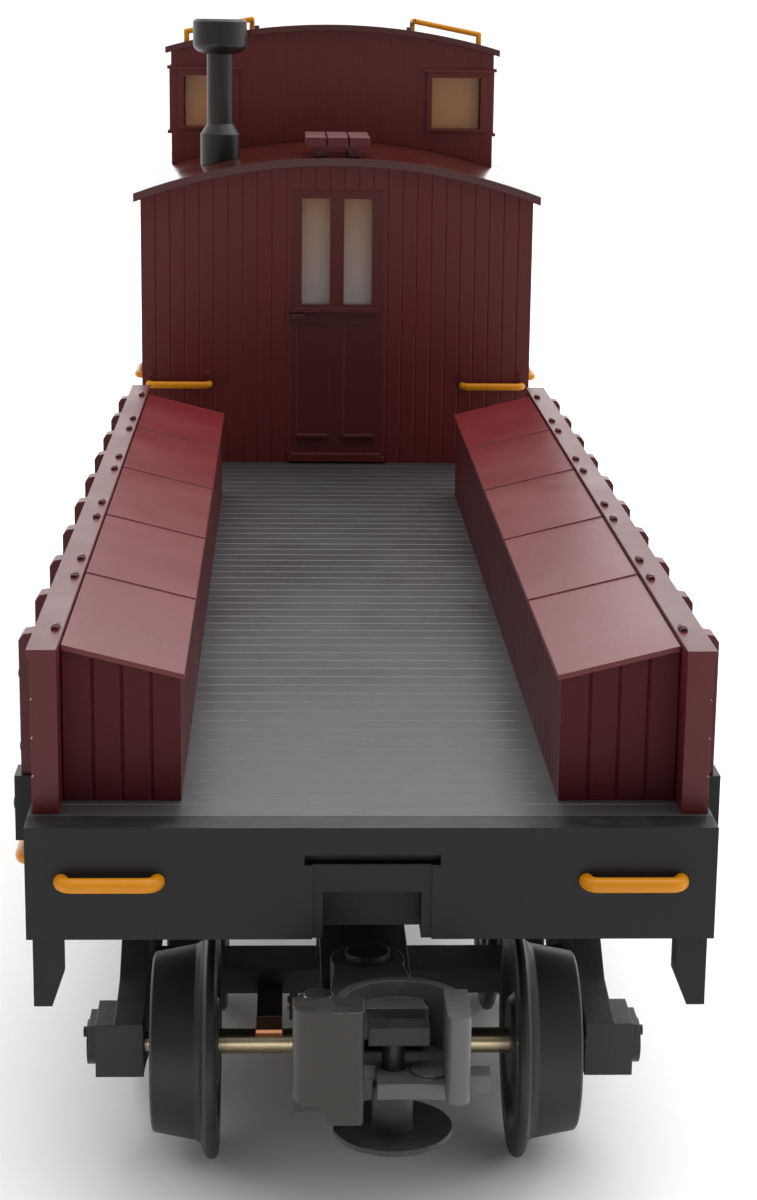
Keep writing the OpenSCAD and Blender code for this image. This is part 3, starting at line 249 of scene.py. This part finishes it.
def finish_material(
    name,
    base,
    worn,
    rough=(0.25, 0.4),
    metallic=0.0,
    specular=0.35,
    bump=0.00003,
    wear=0.5,
    dust_amount=0.12,
    cloud=0.35,
    wave_share=0.4,
    fine_scale=2600.0,
    boards=None,
    board_bump=0.00006,
):
    """A finish: base colour clouded and toned, edges worn, dust on top, fine relief over bevelled edges.

    `rough` is the least and most roughness; `bump` and `board_bump` are relief depths in metres; `boards` is
    the grain's stretch, the direction across the boards, boards per metre and the offset of the first."""
    material = bpy.data.materials.new(name)
    material.use_nodes = True
    tree = material.node_tree
    shader = tree.nodes["Principled BSDF"]
    shader.inputs["Metallic"].default_value = metallic
    shader.inputs["Specular IOR Level"].default_value = specular
    edge = use(tree, "edge", Radius=EDGE_RADIUS, Amount=wear)
    grain = use(tree, "grain", Fine_Scale=fine_scale, Wave_Share=wave_share)
    soil = use(tree, "dust", Amount=dust_amount)
    darker = tuple(c * (1.0 - cloud) for c in base)
    lighter = tuple(min(1.0, c * (1.0 + cloud)) for c in base)
    tone = blend_colour(tree, grain.outputs["Cloud"], darker, lighter)
    heights = [(grain.outputs["Height"], bump)]
    if boards:
        board = use(tree, "boards", Stretch=boards[0], Across=boards[1], Boards_Per_Metre=boards[2],
                    Offset=boards[3])
        toned = blend_colour(tree, board.outputs["Tone"], darker, lighter)
        half = add(tree, "ShaderNodeMix", data_type="RGBA", values={0: 0.5})
        link(tree, tone, half.inputs[6])
        link(tree, toned, half.inputs[7])
        tone = half.outputs[2]
        heights.append((board.outputs["Height"], board_bump))
    tone = blend_colour(tree, soil.outputs["Mask"], tone, DUST_COLOUR)
    tone = blend_colour(tree, edge.outputs["Mask"], tone, worn)
    link(tree, tone, shader.inputs["Base Color"])
    roughness = add(tree, "ShaderNodeMapRange", values={"From Min": 0.3, "From Max": 0.7,
                                                         "To Min": rough[0], "To Max": rough[1]})
    link(tree, grain.outputs["Cloud"], roughness.inputs["Value"])
    link(tree, roughness.outputs["Result"], shader.inputs["Roughness"])
    normal = edge.outputs["Normal"]
    for height, distance in heights:
        relief = add(tree, "ShaderNodeBump", values={"Strength": 1.0, "Distance": distance})
        link(tree, height, relief.inputs["Height"])
        link(tree, normal, relief.inputs["Normal"])
        normal = relief.outputs["Normal"]
    link(tree, normal, shader.inputs["Normal"])
    return material


# ---------------------------------------------------------------- finishes

# Upright fibres, 700 to the metre across and 60 along, with one tone for the whole wall.
UPRIGHT_GRAIN = ((700.0, 700.0, 60.0), (0.0, 0.0, 0.0), 0.0, 0.0)

FINISH = {
    "dark_frame": finish_material("dark_frame", (0.010, 0.010, 0.011), (0.05, 0.05, 0.05), (0.34, 0.46),
                                  specular=0.22, dust_amount=0.06),
    "deck_boards": finish_material("deck_boards", (0.038, 0.037, 0.041), (0.08, 0.08, 0.08), (0.3, 0.42),
                                   specular=0.5, dust_amount=0.03, cloud=0.15, wear=0.2, bump=0.00002),
    "maroon_side": finish_material("maroon_side", (0.084, 0.011, 0.013), (0.22, 0.07, 0.07), (0.28, 0.4),
                                   specular=0.25, dust_amount=0.03, cloud=0.15),
    "maroon_lids": finish_material("maroon_lids", (0.115, 0.008, 0.011), (0.24, 0.08, 0.08), (0.26, 0.36),
                                   specular=0.36, dust_amount=0.02, cloud=0.12, wear=0.3),
    "maroon_boards": finish_material("maroon_boards", (0.066, 0.008, 0.010), (0.18, 0.06, 0.06),
                                     (0.36, 0.5), specular=0.12, boards=UPRIGHT_GRAIN,
                                     dust_amount=0.04, cloud=0.2, board_bump=0.00002),
    "oxide_wall": finish_material("oxide_wall", (0.100, 0.013, 0.012), (0.20, 0.05, 0.05), (0.3, 0.44),
                                  boards=UPRIGHT_GRAIN, dust_amount=0.03,
                                  cloud=0.18, board_bump=0.00002, wear=0.3, specular=0.28),
    "oxide_roof": finish_material("oxide_roof", (0.060, 0.009, 0.008), (0.18, 0.05, 0.05), (0.1, 0.17),
                                  specular=0.35, dust_amount=0.02, bump=0.000006, wave_share=0.7, cloud=0.15),
    "oxide_door": finish_material("oxide_door", (0.078, 0.012, 0.011), (0.18, 0.05, 0.05), (0.3, 0.42),
                                  dust_amount=0.02, cloud=0.15, wear=0.3, specular=0.28),
    "black_plastic": finish_material("black_plastic", (0.008, 0.007, 0.006), (0.06, 0.06, 0.06),
                                     (0.28, 0.4), dust_amount=0.05),
    "yellow_wire": finish_material("yellow_wire", (0.56, 0.21, 0.004), (0.40, 0.24, 0.08), (0.25, 0.4),
                                   specular=0.25, wear=0.2, dust_amount=0.0, cloud=0.12, bump=0.00001),
    "zinc_weight": finish_material("zinc_weight", (0.5, 0.5, 0.52), (0.7, 0.7, 0.7), (0.3, 0.5),
                                   metallic=1.0),
    "green_board": finish_material("green_board", (0.02, 0.14, 0.06), (0.1, 0.3, 0.15), (0.3, 0.45)),
    "steel_screw": finish_material("steel_screw", (0.42, 0.42, 0.43), (0.7, 0.7, 0.7), (0.25, 0.4),
                                   metallic=1.0, bump=0.00001),
    "black_metal": finish_material("black_metal", (0.027, 0.027, 0.028), (0.12, 0.115, 0.11), (0.36, 0.5),
                                   metallic=0.1, wear=0.5, dust_amount=0.08, bump=0.00005),
    "wheel_metal": finish_material("wheel_metal", (0.026, 0.026, 0.028), (0.14, 0.135, 0.13), (0.38, 0.52),
                                   metallic=0.2, wear=0.6, dust_amount=0.05),
    "axle_metal": finish_material("axle_metal", (0.60, 0.50, 0.33), (0.8, 0.74, 0.6), (0.2, 0.34),
                                  metallic=1.0, bump=0.000008, dust_amount=0.05),
    "copper_strip": finish_material("copper_strip", (0.62, 0.28, 0.15), (0.8, 0.5, 0.35), (0.22, 0.36),
                                    metallic=1.0, bump=0.00001, dust_amount=0.04),
    "die_cast": finish_material("die_cast", (0.10, 0.10, 0.108), (0.22, 0.21, 0.20), (0.34, 0.5),
                                metallic=0.35, wear=0.7, bump=0.00007, fine_scale=1500.0),
    "knuckle_cast": finish_material("knuckle_cast", (0.042, 0.039, 0.036), (0.30, 0.29, 0.27), (0.34, 0.5),
                                    metallic=0.4, wear=0.6, bump=0.00008, fine_scale=1400.0),
}


def frosted_pane():
    """Frosted plastic: milky, a little see-through, with a soft grain; grey low down and tan higher up."""
    material = bpy.data.materials.new("frosted_pane")
    material.use_nodes = True
    tree = material.node_tree
    shader = tree.nodes["Principled BSDF"]
    shader.inputs["Transmission Weight"].default_value = 0.25
    grain = use(tree, "grain", Fine_Scale=1500.0, Wave_Share=0.6)
    tan = blend_colour(tree, grain.outputs["Cloud"], (0.46, 0.22, 0.085), (0.60, 0.30, 0.12))
    grey = blend_colour(tree, grain.outputs["Cloud"], (0.44, 0.37, 0.37), (0.76, 0.65, 0.63))
    where = add(tree, "ShaderNodeTexCoord")
    parts = add(tree, "ShaderNodeSeparateXYZ")
    link(tree, where.outputs["Object"], parts.inputs["Vector"])
    door_low, door_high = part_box("front_door")
    tan_start = door_low.z + 0.6 * (door_high.z - door_low.z)
    height = add(tree, "ShaderNodeMapRange", values={"From Min": tan_start, "From Max": door_high.z})
    link(tree, parts.outputs["Z"], height.inputs["Value"])
    tone = blend_colour(tree, height.outputs["Result"], grey, tan)
    link(tree, tone, shader.inputs["Base Color"])
    relief = add(tree, "ShaderNodeBump", values={"Strength": 1.0, "Distance": 0.00004})
    link(tree, grain.outputs["Height"], relief.inputs["Height"])
    link(tree, relief.outputs["Normal"], shader.inputs["Normal"])
    shader.inputs["Roughness"].default_value = 0.32
    return material


FINISH["frosted_pane"] = frosted_pane()

NODE_FINISH = {
    "deck": "deck_boards",
    "toolbox_lids_left": "maroon_lids",
    "toolbox_lids_right": "maroon_lids",
    "toolbox_left": "maroon_boards",
    "toolbox_right": "maroon_boards",
    "cabin_roof": "oxide_roof",
    "cupola_roof": "oxide_roof",
    "front_door": "oxide_door",
    "rear_door": "oxide_door",
}
for end in ("front", "rear"):
    NODE_FINISH[f"{end}_outer_wheels"] = "wheel_metal"
    NODE_FINISH[f"{end}_inner_wheels"] = "wheel_metal"
    NODE_FINISH[f"{end}_knuckle"] = "knuckle_cast"
    NODE_FINISH[f"{end}_coupler_rivet"] = "black_metal"
slot_of = {s["node"]: s["material_slot"] for s in frame["record"]["subparts"]}
for name, obj in nodes.items():
    finish = FINISH[NODE_FINISH.get(name, slot_of[name])]
    obj.data.materials.clear()
    obj.data.materials.append(finish)

# ---------------------------------------------------------------- new pieces


def grid_object(name, x, y, z):
    """A mesh over a grid of points: rows by columns, four points to a face."""
    rows, cols = x.shape
    points = np.stack([x, y, z], axis=-1).reshape(-1, 3)
    index = np.arange(rows * cols).reshape(rows, cols)
    faces = np.stack([index[:-1, :-1], index[:-1, 1:], index[1:, 1:], index[1:, :-1]], axis=-1)
    return mesh_object(name, points, faces.reshape(-1, 4).tolist())


def mesh_object(name, points, faces, smooth=False):
    """A mesh from an array of points and a list of faces, linked to the scene."""
    mesh = bpy.data.meshes.new(name)
    mesh.from_pydata(points.tolist(), [], faces)
    if smooth:
        mesh.polygons.foreach_set("use_smooth", np.ones(len(mesh.polygons), dtype=bool))
    mesh.update()
    obj = bpy.data.objects.new(name, mesh)
    scene.collection.objects.link(obj)
    return obj


def dress(obj, body, finish, slot_name, *replaced):
    """A finished piece: it rides on a body, takes a slot's finish and may stand for CAD nodes."""
    obj.data.materials.append(FINISH[finish])
    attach(obj, body)
    if replaced:
        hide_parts(*replaced)


def node_points(node):
    """The points of a CAD node's mesh."""
    vertices = nodes[node].data.vertices
    points = np.empty(len(vertices) * 3)
    vertices.foreach_get("co", points)
    return points.reshape(-1, 3)


SAME_PLANE = 0.01 * MM


def block_middles(face_points):
    """The Y of the middle of each block, from the points of their outer faces: two edges to a block."""
    edge_y = np.unique(np.round(face_points[:, 1], 6))
    return (edge_y[0::2] + edge_y[1::2]) / 2


def solid_boxes(node):
    """The box of each separate solid in a CAD node: points at one place are one, and edges join labels."""
    points = node_points(node)
    mesh = nodes[node].data
    edges = np.empty(len(mesh.edges) * 2, dtype=np.int64)
    mesh.edges.foreach_get("vertices", edges)
    same_place = 0.0001 * MM
    _, place = np.unique(np.round(points / same_place), axis=0, return_inverse=True)
    a, b = place.reshape(-1)[edges.reshape(-1, 2)].T
    label = np.arange(place.max() + 1)
    while True:
        lowest = np.minimum(label[a], label[b])
        joined = label.copy()
        np.minimum.at(joined, a, lowest)
        np.minimum.at(joined, b, lowest)
        joined = joined[joined]
        if np.array_equal(joined, label):
            break
        label = joined
    own = label[place.reshape(-1)]
    return [(points[own == k].min(0), points[own == k].max(0)) for k in np.unique(own)]


def rounded_path(corners, bend, steps=7):
    """A path through corners, where each inner corner is a quadratic curve that starts and ends `bend` from it."""
    corners = np.asarray(corners, dtype=float)
    before = corners[:-2] - corners[1:-1]
    after = corners[2:] - corners[1:-1]
    start = corners[1:-1] + bend * before / np.linalg.norm(before, axis=1, keepdims=True)
    finish = corners[1:-1] + bend * after / np.linalg.norm(after, axis=1, keepdims=True)
    t = np.linspace(0.0, 1.0, steps)[None, :, None]
    arc = (1 - t) ** 2 * start[:, None] + 2 * t * (1 - t) * corners[1:-1, None] + t**2 * finish[:, None]
    return np.vstack([corners[:1], arc.reshape(-1, 3), corners[-1:]])


def tube_grid(path, radius, aside, sides=20):
    """A tube: at each point of the path a circle across its direction, with poles that close both ends.

    `aside` is a direction out of the path's plane: the circle is aside * cos + (direction x aside) * sin."""
    along = np.gradient(path, axis=0)
    along /= np.linalg.norm(along, axis=1, keepdims=True)
    aside = np.asarray(aside, dtype=float)
    other = np.cross(along, aside)
    turn = np.linspace(0.0, 2.0 * np.pi, sides, endpoint=False)
    rings = path[:, None] + radius * (
        np.cos(turn)[None, :, None] * aside + np.sin(turn)[None, :, None] * other[:, None]
    )
    points = np.vstack([rings.reshape(-1, 3), path[:1], path[-1:]])
    index = np.arange(len(path) * sides).reshape(len(path), sides)
    ahead = np.roll(index, -1, axis=1)
    quads = np.stack([index[:-1], index[1:], ahead[1:], ahead[:-1]], axis=-1).reshape(-1, 4)
    first, last = len(path) * sides, len(path) * sides + 1
    start_cap = np.stack([np.full(sides, first), index[0], ahead[0]], axis=-1)
    end_cap = np.stack([np.full(sides, last), ahead[-1], index[-1]], axis=-1)
    return points, [quads, start_cap, end_cap]


def joined_object(name, grids):
    """One smooth mesh from several pairs of points and blocks of faces."""
    points, faces, start = [], [], 0
    for some, blocks in grids:
        points.append(some)
        for block in blocks:
            faces += (start + block).tolist()
        start += len(some)
    return mesh_object(name, np.vstack(points), faces, smooth=True)


def staple(low, high, middle):
    """A grab iron in its solid's box: a wire along the longest side, with both feet towards `middle`."""
    size = high - low
    long_axis, out_axis, thin_axis = np.argsort(-size)
    radius = size[thin_axis] / 2
    inner, outer = low + radius, high - radius
    outward = 1 if (low + high)[out_axis] / 2 > middle[out_axis] else -1
    foot, stand = (inner, outer) if outward > 0 else (outer, inner)
    corners = np.tile((low + high) / 2, (4, 1))
    corners[:, long_axis] = [inner[long_axis], inner[long_axis], outer[long_axis], outer[long_axis]]
    corners[:, out_axis] = [foot[out_axis], stand[out_axis], stand[out_axis], foot[out_axis]]
    aside = np.zeros(3)
    aside[thin_axis] = 1.0
    bend = 1.7 * radius
    return tube_grid(rounded_path(corners, bend), radius, aside)


def grab_irons(name, node, around):
    """All the staples of a node, as bent wires in place of its square-cornered ones."""
    low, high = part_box(around)
    middle = np.array((low + high) / 2)
    obj = joined_object(name, [staple(a, b, middle) for a, b in solid_boxes(node)])
    dress(obj, "car", "yellow_wire", "yellow_wire", node)


def domes(places, outward, radius, height, rings=5, sides=14):
    """Rivet heads: at each place a cap of radius r*cos(t) at height h*sin(t), t from 0 to a right angle."""
    outward = np.asarray(outward, dtype=float)
    side_a = np.array([0.0, 0.0, 1.0]) if abs(outward[2]) < 0.5 else np.array([1.0, 0.0, 0.0])
    side_b = np.cross(outward, side_a)
    t = np.linspace(0.0, np.pi / 2, rings)[:, None, None]
    turn = np.linspace(0.0, 2.0 * np.pi, sides, endpoint=False)[None, :, None]
    cap = radius * np.cos(t) * (np.cos(turn) * side_a + np.sin(turn) * side_b) + height * np.sin(t) * outward
    index = np.arange(rings * sides).reshape(rings, sides)
    ahead = np.roll(index, -1, axis=1)
    quads = np.stack([index[:-1], ahead[:-1], ahead[1:], index[1:]], axis=-1).reshape(-1, 4)
    return [(cap.reshape(-1, 3) + place, [quads]) for place in np.asarray(places, dtype=float)]


def stake_rivets():
    """Two rivet heads on each stake of the side walls, one low and one high."""
    heights = (3.6 * MM, 10.4 * MM)
    head_radius, head_height = 0.5 * MM, 0.22 * MM
    deck_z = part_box("deck")[1].z
    heads = []
    for side, node in ((1.0, "side_wall_right"), (-1.0, "side_wall_left")):
        points = node_points(node)
        face = np.abs(points[:, 0]).max()
        middles = block_middles(points[np.abs(points[:, 0]) > face - SAME_PLANE])
        for height in heights:
            places = np.column_stack([np.full_like(middles, side * face), middles,
                                      np.full_like(middles, deck_z + height)])
            heads += domes(places, (side, 0.0, 0.0), head_radius, head_height)
    dress(joined_object("stake_rivets", heads), "car", "maroon_side", "maroon_side")


def pocket_bolts():
    """One bolt head on the outer face of each stake pocket."""
    head_radius, head_height = 0.75 * MM, 0.3 * MM
    _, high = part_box("underframe")
    points = node_points("underframe")
    face_points = points[points[:, 0] > high.x - SAME_PLANE]
    middles = block_middles(face_points)
    middle_z = (face_points[:, 2].min() + face_points[:, 2].max()) / 2
    heads = []
    for side in (-1.0, 1.0):
        places = np.column_stack([np.full_like(middles, side * high.x), middles,
                                  np.full_like(middles, middle_z)])
        heads += domes(places, (side, 0.0, 0.0), head_radius, head_height)
    dress(joined_object("pocket_bolts", heads), "car", "dark_frame", "dark_frame")


def truck_springs(end):
    """Four coil springs in a truck's side frames: a wire round an upright helix, over plain columns."""
    turns, radius, wire = 5.5, 1.25 * MM, 0.27 * MM
    wheel_gap, frame_to_axis, half_spacing = 0.8 * MM, 1.5 * MM, 2.0 * MM
    low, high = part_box(f"{end}_side_frames")
    middle_y = (low.y + high.y) / 2
    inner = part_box(f"{end}_outer_wheels")[1].x + wheel_gap
    bottom, top = low.z + 1.6 * MM, low.z + 5.4 * MM
    t = np.linspace(0.0, 1.0, 150)
    angle = 2.0 * np.pi * turns * t
    coils = []
    for side in (-1.0, 1.0):
        for shift in (-half_spacing, half_spacing):
            path = np.column_stack([side * (inner + frame_to_axis) + radius * np.cos(angle),
                                    middle_y + shift + radius * np.sin(angle),
                                    bottom + (top - bottom) * t])
            coils.append(tube_grid(path, wire, (0.0, 0.0, 1.0), sides=10))
    dress(joined_object(f"{end}_truck_springs", coils), f"{end}_truck", "black_metal", "black_metal")


def pocket_backs():
    """Two plates that close the coupler pockets behind the end sills: flat grids in X and Z."""
    half_width, height, inset = 5.0 * MM, 5.4 * MM, 0.2 * MM
    for end, side in (("front", -1.0), ("rear", 1.0)):
        low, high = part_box(f"{end}_end_sill")
        inner = (high if side < 0 else low).y - side * inset
        x, z = np.meshgrid(np.linspace(-half_width, half_width, 9), np.linspace(low.z, low.z + height, 7))
        back = grid_object(f"{end}_pocket_back", -side * x, np.full_like(x, inner), z)
        dress(back, "car", "dark_frame", "dark_frame")


pocket_backs()
grab_irons("bent_sill_grab_irons", "sill_grab_irons", "underframe")
grab_irons("bent_cabin_grab_irons", "cabin_grab_irons", "cabin_shell")
stake_rivets()
pocket_bolts()
for end in ("front", "rear"):
    truck_springs(end)

# ---------------------------------------------------------------- stage, light and camera


def stage_floor():
    """A wide flat pale floor."""
    reach = np.linspace(-30.0, 30.0, 3)
    x, y = np.meshgrid(reach, reach)
    obj = grid_object("stage_floor", x, y, np.zeros_like(x))
    material = bpy.data.materials.new("pale_floor")
    material.use_nodes = True
    shader = material.node_tree.nodes["Principled BSDF"]
    shader.inputs["Base Color"].default_value = (0.92, 0.905, 0.895, 1.0)
    shader.inputs["Roughness"].default_value = 0.7
    shader.inputs["Specular IOR Level"].default_value = 0.1
    obj.data.materials.append(material)


def area_light(name, place, target, size, power):
    """A white rectangular light that faces its target; `size` is its width and height, `power` is in watts."""
    data = bpy.data.lights.new(name, "AREA")
    data.shape = "RECTANGLE"
    data.size, data.size_y = size
    data.energy = power
    obj = bpy.data.objects.new(name, data)
    scene.collection.objects.link(obj)
    obj.location = place
    obj.rotation_mode = "QUATERNION"
    obj.rotation_quaternion = (Vector(target) - Vector(place)).to_track_quat("-Z", "Y")


def light_tent():
    """The world: white above and behind the car, greyer in front of it and below."""
    world = bpy.data.worlds.new("tent")
    scene.world = world
    world.use_nodes = True
    tree = world.node_tree
    shader = tree.nodes["Background"]
    where = add(tree, "ShaderNodeTexCoord")
    blend = add(tree, "ShaderNodeVectorMath", operation="DOT_PRODUCT")
    blend.inputs[1].default_value = (0.3, 1.0, 0.6)
    link(tree, where.outputs["Generated"], blend.inputs[0])
    ramp = add(tree, "ShaderNodeMapRange", interpolation_type="SMOOTHSTEP",
               values={"From Min": -0.7, "From Max": 0.6, "To Min": 0.18, "To Max": 1.6})
    link(tree, blend.outputs["Value"], ramp.inputs["Value"])
    link(tree, ramp.outputs["Result"], shader.inputs["Strength"])
    shader.inputs["Color"].default_value = (1.0, 1.0, 1.0, 1.0)


def camera():
    """The camera stands in front of the open deck, a little left of its middle, and looks down along the car."""
    aside, before_car, height = -7.57 * MM, 189.8 * MM, 107.2 * MM
    yaw, pitch, roll = 0.03888, 0.23954, 0.012237
    place = Vector((aside, cad_low.y - before_car, height))
    ahead = Vector((math.sin(yaw) * math.cos(pitch), math.cos(yaw) * math.cos(pitch), -math.sin(pitch)))
    right = Vector((math.cos(yaw), -math.sin(yaw), 0.0))
    up = right.cross(ahead)
    right, up = (
        math.cos(roll) * right + math.sin(roll) * up,
        math.cos(roll) * up - math.sin(roll) * right,
    )
    data = bpy.data.cameras.new("camera")
    data.sensor_width = 36.0
    data.lens = 73.5
    data.clip_start, data.clip_end = 0.01, 20.0
    obj = bpy.data.objects.new("camera", data)
    scene.collection.objects.link(obj)
    turn = Matrix((right, up, -ahead)).transposed()
    obj.matrix_world = Matrix.Translation(place) @ turn.to_4x4()
    scene.camera = obj


stage_floor()
light_tent()
area_light("top_box", (0.15, 0.25, 1.1), (0.0, 0.0, 0.0), (1.2, 1.2), 9.0)
area_light("right_box", (0.7, 0.45, 0.9), (0.0, 0.0, 0.05), (0.7, 0.7), 1.6)
camera()
scene.view_settings.view_transform = "Standard"
scene.view_settings.look = "None"
